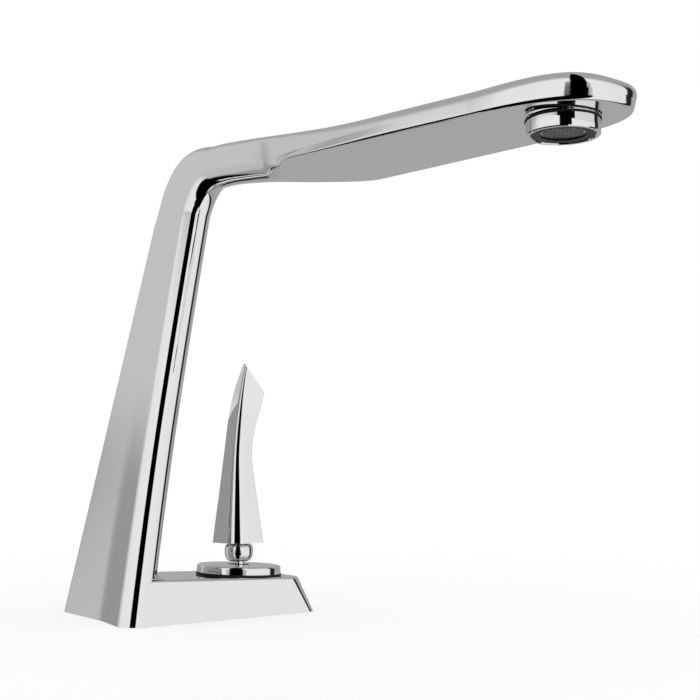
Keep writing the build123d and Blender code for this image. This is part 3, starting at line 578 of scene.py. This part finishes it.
FOOT_FRONT, FOOT_BACK, FOOT_END = -22.2, 26.0, 30.5
FOOT_HIDDEN_END = -58.0      # inside the column
FOOT_BLANK = 22.0            # the walls are drawn to this height, then cut along the top
FOOT_HEIGHT, FOOT_SLOPE = 17.3, 0.04
FOOT_DRAFT, FOOT_RAKE = 1.2, 9.0     # how far the walls and the end lean in over that height
FOOT_CORNER_R, FOOT_CORNER_GROWTH = 6.0, 5.0
FOOT_RIM_R, FOOT_LIP = 1.6, 0.4
FOOT_LONG_STEPS, FOOT_SHORT_STEPS = 24, 16
FOOT_WALL_STEPS, FOOT_RIM_STEPS = 8, 10
NOSE_OVERLAP = 0.02          # the foot's front ends this far behind the nose's tip
BORE_R = 14.1                # the cartridge nut's bore, hidden under the cover disc
RECESS_R = 19.9              # the gasket's recess round the shank


def foot_plan(share):
    """Plan of the foot, this share of the way up its blank: points from back left to front left."""
    draft, rake = FOOT_DRAFT * share, FOOT_RAKE * share
    corner = FOOT_CORNER_R + FOOT_CORNER_GROWTH * share
    front, back, end = FOOT_FRONT + draft, FOOT_BACK - draft, FOOT_END - rake
    height = FOOT_BLANK * share
    nose = Vector((column_x(height) + nose_spread(height), column_front(height) + NOSE_OVERLAP))
    hidden = Vector((FOOT_HIDDEN_END, back))
    back_wall, back_end = Vector((end - corner, back)), Vector((end, back - corner))
    front_end, front_wall = Vector((end, front + corner)), Vector((end - corner, front))
    points = [hidden.lerp(back_wall, i / FOOT_LONG_STEPS) for i in range(FOOT_LONG_STEPS)]
    points += rounded(back_wall, Vector((end, back)), back_end, FOOT_SHORT_STEPS)
    points += [back_end.lerp(front_end, i / FOOT_SHORT_STEPS) for i in range(1, FOOT_SHORT_STEPS)]
    points += rounded(front_end, Vector((end, front)), front_wall, FOOT_SHORT_STEPS)
    points += [front_wall.lerp(nose, i / FOOT_LONG_STEPS) for i in range(1, FOOT_LONG_STEPS + 1)]
    return points


def foot_top(x):
    """Height of the foot's sloping top."""
    return FOOT_HEIGHT - FOOT_SLOPE * x


def foot_strips():
    """Strips up the foot's walls and over the rounded rim, one for each point of the plan."""
    low, high = foot_plan(0.0), foot_plan(1.0)
    down = Vector((FOOT_SLOPE, 0.0, 1.0)).normalized()
    strips = []
    for index, (start, end) in enumerate(zip(low, high)):
        foot, head = Vector((start.x, start.y, 0.0)), Vector((end.x, end.y, FOOT_BLANK))
        share = (foot_top(foot.x) - foot.z) / (head.z - foot.z + FOOT_SLOPE * (head.x - foot.x))
        corner = foot.lerp(head, share)
        along = low[min(index + 1, len(low) - 1)] - low[max(index - 1, 0)]
        if index in (0, len(low) - 1):
            along = Vector((1.0, 0.0)) if index == 0 else Vector((-1.0, 0.0))
        inward = Vector((along.y, -along.x, 0.0)).normalized()
        inward = (inward - down * inward.dot(down)).normalized()
        fall = (foot - corner).normalized()
        cut = FOOT_RIM_R / tan(fall.angle(inward) / 2)
        wall_top, rim_end = corner + fall * cut, corner + inward * cut
        strip = [foot.lerp(wall_top, i / FOOT_WALL_STEPS) for i in range(FOOT_WALL_STEPS)]
        strip += rounded(wall_top, corner, rim_end, FOOT_RIM_STEPS)
        strip.append(rim_end + inward * FOOT_LIP)
        strips.append(strip)
    return strips


FILLET_R = 5.0               # in the corner between the column and the foot
FILLET_FADES = (15.0, 23.5)  # towards the foot's back


def fillet_corner(step, z):
    """A point of the column's right side at this height: round the nose, then straight back."""
    section = column_ring(z)
    if step <= CORNER_STEPS:
        return section[FLAT_STEPS + step]
    side = section[FLAT_STEPS + CORNER_STEPS]
    share = (step - CORNER_STEPS) / CORNER_STEPS
    return Vector((side.x, side.y + (FILLET_FADES[1] - side.y) * share, z))


def fillet_rows():
    """Rows across the fillet, from the nose round the column's right side towards the foot's back."""
    rows = []
    for step in range(1, 2 * CORNER_STEPS):
        turn = pi / 2 * min(step / CORNER_STEPS, 1.0)
        outward = Vector((sin(turn), -cos(turn), 0.0))
        corner = fillet_corner(step, foot_top(fillet_corner(step, FOOT_HEIGHT).x))
        reach = FILLET_R * outward.x ** 2 * (1 - blend(corner.y, *FILLET_FADES))
        end = corner + outward * reach
        end.z = foot_top(end.x)
        rows.append(rounded(fillet_corner(step, corner.z + reach), corner, end, EDGE_STEPS))
    return rows


CORE_R, CORE_TOP = RECESS_R + 0.05, FOOT_HEIGHT + 1.0
NIPPLE_R, NIPPLE_HEIGHTS = 12.35, (170, 186)
BOSS_FACE = ((11.0, 180.4), (12.0, 180.4))    # radius and height
BOSS_FILLET = ((12.3, 180.9), (12.3, 182.0), (13.6, 182.6))    # its start, corner and end


def inner_faces(node, keep):
    """A copy of those faces of a node whose corners all pass the test."""
    shape = bmesh.new()
    shape.from_mesh(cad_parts[node].data)
    bmesh.ops.delete(
        shape, geom=[face for face in shape.faces if not all(keep(v.co / MM) for v in face.verts)],
        context="FACES",
    )
    return shape


def in_core(point):
    """Whether a point belongs to the cartridge bore, the shank or the aerator's nipple."""
    low, high = NIPPLE_HEIGHTS
    in_nipple = (point.xy - Vector(AERATOR)).length < NIPPLE_R and low < point.z < high
    return in_nipple or (point.xy.length < CORE_R and point.z < CORE_TOP)


def plate(shape, outline, hole_r, height):
    """Fills a flat ring between an outline and a round hole, at the height given for each point."""
    outer, inner = (
        [shape.verts.new(Vector((p.x, p.y, height(p.x))) * MM) for p in loop]
        for loop in (outline, circle(hole_r))
    )
    edges = [shape.edges.new((loop[i - 1], loop[i])) for loop in (outer, inner) for i in range(len(loop))]
    bmesh.ops.triangle_fill(shape, edges=edges, use_beauty=True)


def add_blade(chrome):
    """Adds the column, the bend, the neck and the paddle as one skin."""
    rings = [column_ring(BEND_Z * i / COLUMN_STEPS) for i in range(COLUMN_STEPS + 1)]
    rings += [bend_ring(90 * i / BEND_STEPS) for i in range(1, BEND_STEPS)]
    start_y = column_front(BEND_Z) - BEND_INNER_R
    rings += [
        spout_ring(start_y + (TIP_CENTRE_Y - start_y) * i / SPOUT_STEPS) for i in range(SPOUT_STEPS + 1)
    ]
    shape = bmesh.new()
    shape.faces.new(lay_rows(shape, rings, closed=True)[0])
    lay_rows(shape, [tip_half_ring(radians(90 - 180 * i / TIP_STEPS)) for i in range(TIP_STEPS + 1)])
    add_piece("body_blade", shape, chrome, "body_casting")


def add_foot(chrome):
    """Adds the foot, the fillet between it and the column, and what is bored into the casting."""
    strips = foot_strips()
    shape = bmesh.new()
    lay_rows(shape, strips)
    plate(shape, [strip[-1].xy for strip in strips], BORE_R, foot_top)
    plate(shape, [strip[0].xy for strip in strips], RECESS_R, lambda x: 0.0)
    add_piece("body_foot", shape, chrome, "body_casting")
    fillet = bmesh.new()
    lay_rows(fillet, fillet_rows())
    add_piece("body_fillet", fillet, chrome, "body_casting")
    core = inner_faces("body_casting", in_core)
    add_piece("body_core", core, chrome, "body_casting")


def add_boss(chrome):
    """Adds the low boss in the paddle's underside that the aerator's collar is screwed on to."""
    profile = [Vector(point) for point in BOSS_FACE]
    profile += rounded(*(Vector(point) for point in BOSS_FILLET), EDGE_STEPS)
    shape = bmesh.new()
    lay_rows(shape, [
        [Vector((spot.x, spot.y, point.y)) for spot in circle(point.x, AERATOR)] for point in profile
    ], closed=True)
    add_piece("aerator_boss", shape, chrome, "body_casting")


def add_lever(chrome):
    """Adds the lever, with its top cut off obliquely."""
    shape = bmesh.new()
    rings = [lever_ring(LEVER_TOP * i / LEVER_STEPS) for i in range(LEVER_STEPS + 1)]
    rows = lay_rows(shape, rings, closed=True)
    shape.faces.new(list(reversed(rows[0])))
    shape.faces.new(rows[-1])
    across, rise = LEVER_SHOULDER
    shoulder = Vector((across * cos(LEVER_HEADING), across * sin(LEVER_HEADING), LEVER_FOOT_Z + rise))
    cut = bmesh.ops.bisect_plane(
        shape, geom=[*shape.verts, *shape.edges, *shape.faces],
        plane_co=shoulder * MM, plane_no=Vector(LEVER_CUT), clear_outer=True,
    )
    rim = [each for each in cut["geom_cut"] if isinstance(each, bmesh.types.BMEdge)]
    bmesh.ops.contextual_create(shape, geom=rim)
    add_piece("lever_stick", shape, chrome, "lever_handle", "lever_body")


class MIXER_OT_body(bpy.types.Operator):
    """Draws the cast body and the lever and dresses the rest of the chrome"""
    bl_idname = "mixer.body"
    bl_label = "Cast body, lever and chrome"

    def execute(self, context):
        chrome = polished_chrome(context.scene.mixer_finish)
        add_blade(chrome)
        add_foot(chrome)
        add_boss(chrome)
        add_lever(chrome)
        for node in ("ball_collar", "lever_stem", "cover_disc", "aerator_collar"):
            dress(node, chrome)
        return {"FINISHED"}


class MIXER_OT_hidden_parts(bpy.types.Operator):
    """Dresses the seals, the aerator's plastic, the cartridge and the deck fixing"""
    bl_idname = "mixer.hidden_parts"
    bl_label = "Seals, cartridge and fixing"

    def execute(self, context):
        finish = context.scene.mixer_finish
        groups = (
            (moulded_rubber(finish), "black_rubber",
             ("trim_ring", "aerator_gasket", "deck_gasket", "rubber_washer", "cartridge_o_ring",
              "inlet_seals")),
            (moulded_abs(finish), "black_plastic", ("aerator_insert", "flow_regulator", "cartridge_base")),
            (drawn_stainless(finish), "stainless_steel",
             ("aerator_mesh", "pivot_pin", "lever_grub_screw", "steel_washer")),
            (turned_brass(finish), "brass", ("shank_nut", "cartridge_nut")),
            (moulded_acetal(finish), "white_plastic",
             ("cartridge_housing", "spindle_carrier", "disc_carrier")),
            (lapped_alumina(finish), "ceramic", ("fixed_ceramic_disc", "moving_ceramic_disc")),
        )
        for material, slot, nodes in groups:
            for node in nodes:
                dress(node, material)
        return {"FINISHED"}


ROOM_GREY = 0.42
AZIMUTH_BANDS = (
    # degrees to the right of the camera, seen from the mixer; brightness of the walls low down
    (-180, 0.42), (-132, 0.34), (-125, 0.36), (-117, 0.57), (-107, 0.60), (-99, 0.80), (-88, 0.92),
    (-20, 0.95), (24, 0.95), (98, 0.90), (103, 0.02), (118, 0.02), (124, 0.42), (180, 0.42),
)
UPPER_BANDS = (
    # the same for the walls higher up
    (-180, 0.42), (-152, 0.42), (-140, 0.60), (-107, 0.64), (-99, 0.80), (-88, 0.92), (-20, 0.95),
    (24, 0.95), (98, 0.90), (103, 0.02), (118, 0.02), (124, 0.42), (180, 0.42),
)
UPPER_HEIGHTS = (
    # sine of the elevation; share of the upper bands
    (-1.0, 0.0), (0.10, 0.0), (0.22, 1.0), (1.0, 1.0),
)
NARROW_GAP = (
    # degrees to the right of the camera; share of light left beside and in the dark gap
    (-180, 1.0), (-22, 1.0), (-19, 0.0), (15, 0.0), (18, 1.0), (180, 1.0),
)
WIDE_GAP = (
    # the same for the gap low down
    (-180, 1.0), (-31, 1.0), (-28, 0.0), (24, 0.0), (27, 1.0), (180, 1.0),
)
GAP_HEIGHTS = (
    # sine of the elevation; 0 where the gap is wide, 1 where it is narrow
    (-1.0, 0.0), (-0.25, 0.0), (0.12, 1.0), (1.0, 1.0),
)
DARK_FLOOR = (
    # degrees to the right of the camera; share of light left low down, where the floor is dark
    (-180, 1.0), (-172, 1.0), (-162, 0.0), (-30, 0.0), (-10, 1.0), (180, 1.0),
)
FLOOR_HEIGHTS = (
    # sine of the elevation; 0 on the floor, 1 above it
    (-1.0, 0.0), (-0.36, 0.0), (-0.28, 1.0), (1.0, 1.0),
)
HEIGHT_BANDS = (
    # sine of the elevation; share of the plain grey ceiling in the light
    (-1.0, 0.0), (0.42, 0.0), (0.62, 0.8), (0.75, 1.0), (1.0, 1.0),
)


def ramp(tree, value, stops, low, high):
    """A colour ramp over stops of (value, brightness), with value running from low to high."""
    share = add_node(tree, "ShaderNodeMapRange", {"Value": value, "From Min": low, "From Max": high})
    node = add_node(tree, "ShaderNodeValToRGB", {"Fac": share.outputs["Result"]})
    node.color_ramp.interpolation = "EASE"
    elements = node.color_ramp.elements
    while len(elements) > 1:
        elements.remove(elements[-1])
    for index, (place, brightness) in enumerate(stops):
        position = (place - low) / (high - low)
        element = elements[0] if index == 0 else elements.new(position)
        element.position = position
        element.color = grey(brightness)
    return node.outputs["Color"]


def mixed_colour(tree, share, first, second, blend_type="MIX"):
    """Mixes the second colour into the first by this share."""
    links = {"Fac": share, "Color1": first, "Color2": second}
    return add_node(tree, "ShaderNodeMixRGB", links, blend_type=blend_type).outputs["Color"]


def worked_out(tree, operation, first, second):
    """The result of a calculation with two numbers."""
    return add_node(tree, "ShaderNodeMath", {0: first, 1: second}, operation=operation).outputs["Value"]


def studio_world(studio):
    """A grey room with light walls, a dark floor and a dark gap where the camera stands.

    The camera itself sees plain white behind the mixer.
    """
    world = bpy.data.worlds.new("studio")
    bpy.context.scene.world = world
    world.use_nodes = True
    tree = world.node_tree
    tree.nodes.clear()
    direction = add_node(tree, "ShaderNodeTexCoord").outputs["Generated"]
    right = (cos(studio.heading), -sin(studio.heading), 0.0)
    back = (sin(studio.heading), cos(studio.heading), 0.0)
    to_right, to_back = (
        add_node(
            tree, "ShaderNodeVectorMath", {0: direction, 1: axis}, operation="DOT_PRODUCT",
        ).outputs["Value"]
        for axis in (right, back)
    )
    angle = worked_out(tree, "ARCTAN2", to_right, worked_out(tree, "MULTIPLY", to_back, -1.0))
    azimuth = worked_out(tree, "MULTIPLY", angle, 180 / pi)
    height = add_node(tree, "ShaderNodeSeparateXYZ", {"Vector": direction}).outputs["Z"]

    def around(stops):
        return ramp(tree, azimuth, stops, -180, 180)

    def upwards(stops):
        return ramp(tree, height, stops, -1, 1)

    walls = mixed_colour(tree, upwards(UPPER_HEIGHTS), around(AZIMUTH_BANDS), around(UPPER_BANDS))
    room = mixed_colour(tree, upwards(HEIGHT_BANDS), walls, grey(ROOM_GREY))
    gap = mixed_colour(tree, upwards(GAP_HEIGHTS), around(WIDE_GAP), around(NARROW_GAP))
    floor = mixed_colour(tree, upwards(FLOOR_HEIGHTS), around(DARK_FLOOR), grey(1.0))
    dark = mixed_colour(tree, 1.0, floor, gap, "MULTIPLY")
    lit = mixed_colour(tree, 1.0, room, dark, "MULTIPLY")
    studio_light = add_node(tree, "ShaderNodeBackground", {"Color": lit, "Strength": 1.0})
    white = add_node(tree, "ShaderNodeBackground", {"Color": grey(1.0), "Strength": 1.0})
    ray = add_node(tree, "ShaderNodeLightPath")
    mixed = add_node(tree, "ShaderNodeMixShader", {
        0: ray.outputs["Is Camera Ray"],
        1: studio_light.outputs["Background"], 2: white.outputs["Background"],
    })
    add_node(tree, "ShaderNodeOutputWorld", {"Surface": mixed.outputs["Shader"]})


DECK_DROP = 0.2              # millimetres below the foot, so that the two don't share a plane
DECK_GREY, DECK_GLOW = 0.85, 0.6
DECK_FADE_STARTS = 0.5       # share of the radius


def pale_deck(studio):
    """A pale surface that fades out towards its rim and isn't seen in reflections."""
    material, tree = new_material("pale_deck")
    ray = add_node(tree, "ShaderNodeLightPath")
    pale = add_node(tree, "ShaderNodeBsdfDiffuse", {"Color": grey(DECK_GREY)})
    glow = add_node(tree, "ShaderNodeEmission", {
        "Strength": worked_out(tree, "MULTIPLY", ray.outputs["Is Camera Ray"], DECK_GLOW),
    })
    surface = add_node(tree, "ShaderNodeAddShader", {0: pale.outputs["BSDF"], 1: glow.outputs["Emission"]})
    place = add_node(tree, "ShaderNodeTexCoord").outputs["Object"]
    distance = add_node(tree, "ShaderNodeVectorMath", {0: place}, operation="LENGTH")
    fade = add_node(tree, "ShaderNodeMapRange", {
        "Value": distance.outputs["Value"],
        "From Min": studio.deck_radius * DECK_FADE_STARTS, "From Max": studio.deck_radius,
    })
    clear = add_node(tree, "ShaderNodeBsdfTransparent")
    mixed = add_node(tree, "ShaderNodeMixShader", {
        0: worked_out(tree, "MAXIMUM", fade.outputs["Result"], ray.outputs["Is Glossy Ray"]),
        1: surface.outputs["Shader"], 2: clear.outputs["BSDF"],
    })
    add_node(tree, "ShaderNodeOutputMaterial", {"Surface": mixed.outputs["Shader"]})
    return material


def lay_deck(studio):
    """Adds the round deck under the mixer."""
    mesh = bpy.data.meshes.new("deck")
    shape = bmesh.new()
    bmesh.ops.create_circle(shape, cap_ends=True, segments=CIRCLE_STEPS, radius=studio.deck_radius)
    shape.to_mesh(mesh)
    shape.free()
    deck = bpy.data.objects.new("deck", mesh)
    bpy.context.scene.collection.objects.link(deck)
    deck.location.z = -DECK_DROP * MM
    mesh.materials.append(pale_deck(studio))


def place_camera(scene, studio):
    """Adds the camera where the photograph was taken from."""
    data = bpy.data.cameras.new("camera")
    camera = bpy.data.objects.new("camera", data)
    scene.collection.objects.link(camera)
    camera.location = studio.camera_place
    level = cos(studio.pitch)
    forward = Vector((sin(studio.heading) * level, cos(studio.heading) * level, sin(studio.pitch)))
    camera.rotation_mode = "QUATERNION"
    camera.rotation_quaternion = forward.to_track_quat("-Z", "Y")
    data.sensor_width = SENSOR
    data.lens = SENSOR * studio.focal_pixels / PHOTO_PIXELS
    data.clip_start = 0.01
    scene.camera = camera


class MIXER_OT_stage(bpy.types.Operator):
    """Sets up the deck, the studio light and the camera"""
    bl_idname = "mixer.stage"
    bl_label = "Deck, light and camera"

    def execute(self, context):
        scene = context.scene
        studio_world(scene.mixer_studio)
        lay_deck(scene.mixer_studio)
        place_camera(scene, scene.mixer_studio)
        scene.view_settings.view_transform = "Standard"
        return {"FINISHED"}


class MIXER_PT_panel(bpy.types.Panel):
    """Lists the finishes, the studio and the steps"""
    bl_label = "Basin mixer"
    bl_idname = "MIXER_PT_panel"
    bl_space_type = "VIEW_3D"
    bl_region_type = "UI"
    bl_category = "Basin mixer"

    def draw(self, context):
        for group in (context.scene.mixer_finish, context.scene.mixer_studio):
            box = self.layout.box()
            for name in group.__annotations__:
                box.prop(group, name)
        for operator in OPERATORS:
            self.layout.operator(operator.bl_idname)


OPERATORS = (MIXER_OT_body, MIXER_OT_hidden_parts, MIXER_OT_stage)
CLASSES = (MixerFinish, MixerStudio, *OPERATORS, MIXER_PT_panel)


def register():
    """Makes the settings, the steps and the panel known to Blender."""
    for each in CLASSES:
        bpy.utils.register_class(each)
    bpy.types.Scene.mixer_finish = PointerProperty(type=MixerFinish)
    bpy.types.Scene.mixer_studio = PointerProperty(type=MixerStudio)


def unregister():
    """Takes back what register did."""
    del bpy.types.Scene.mixer_studio
    del bpy.types.Scene.mixer_finish
    for each in reversed(CLASSES):
        bpy.utils.unregister_class(each)


def main():
    """Builds the scene."""
    register()
    bpy.ops.mixer.body()
    bpy.ops.mixer.hidden_parts()
    bpy.ops.mixer.stage()


if __name__ == "__main__":
    main()
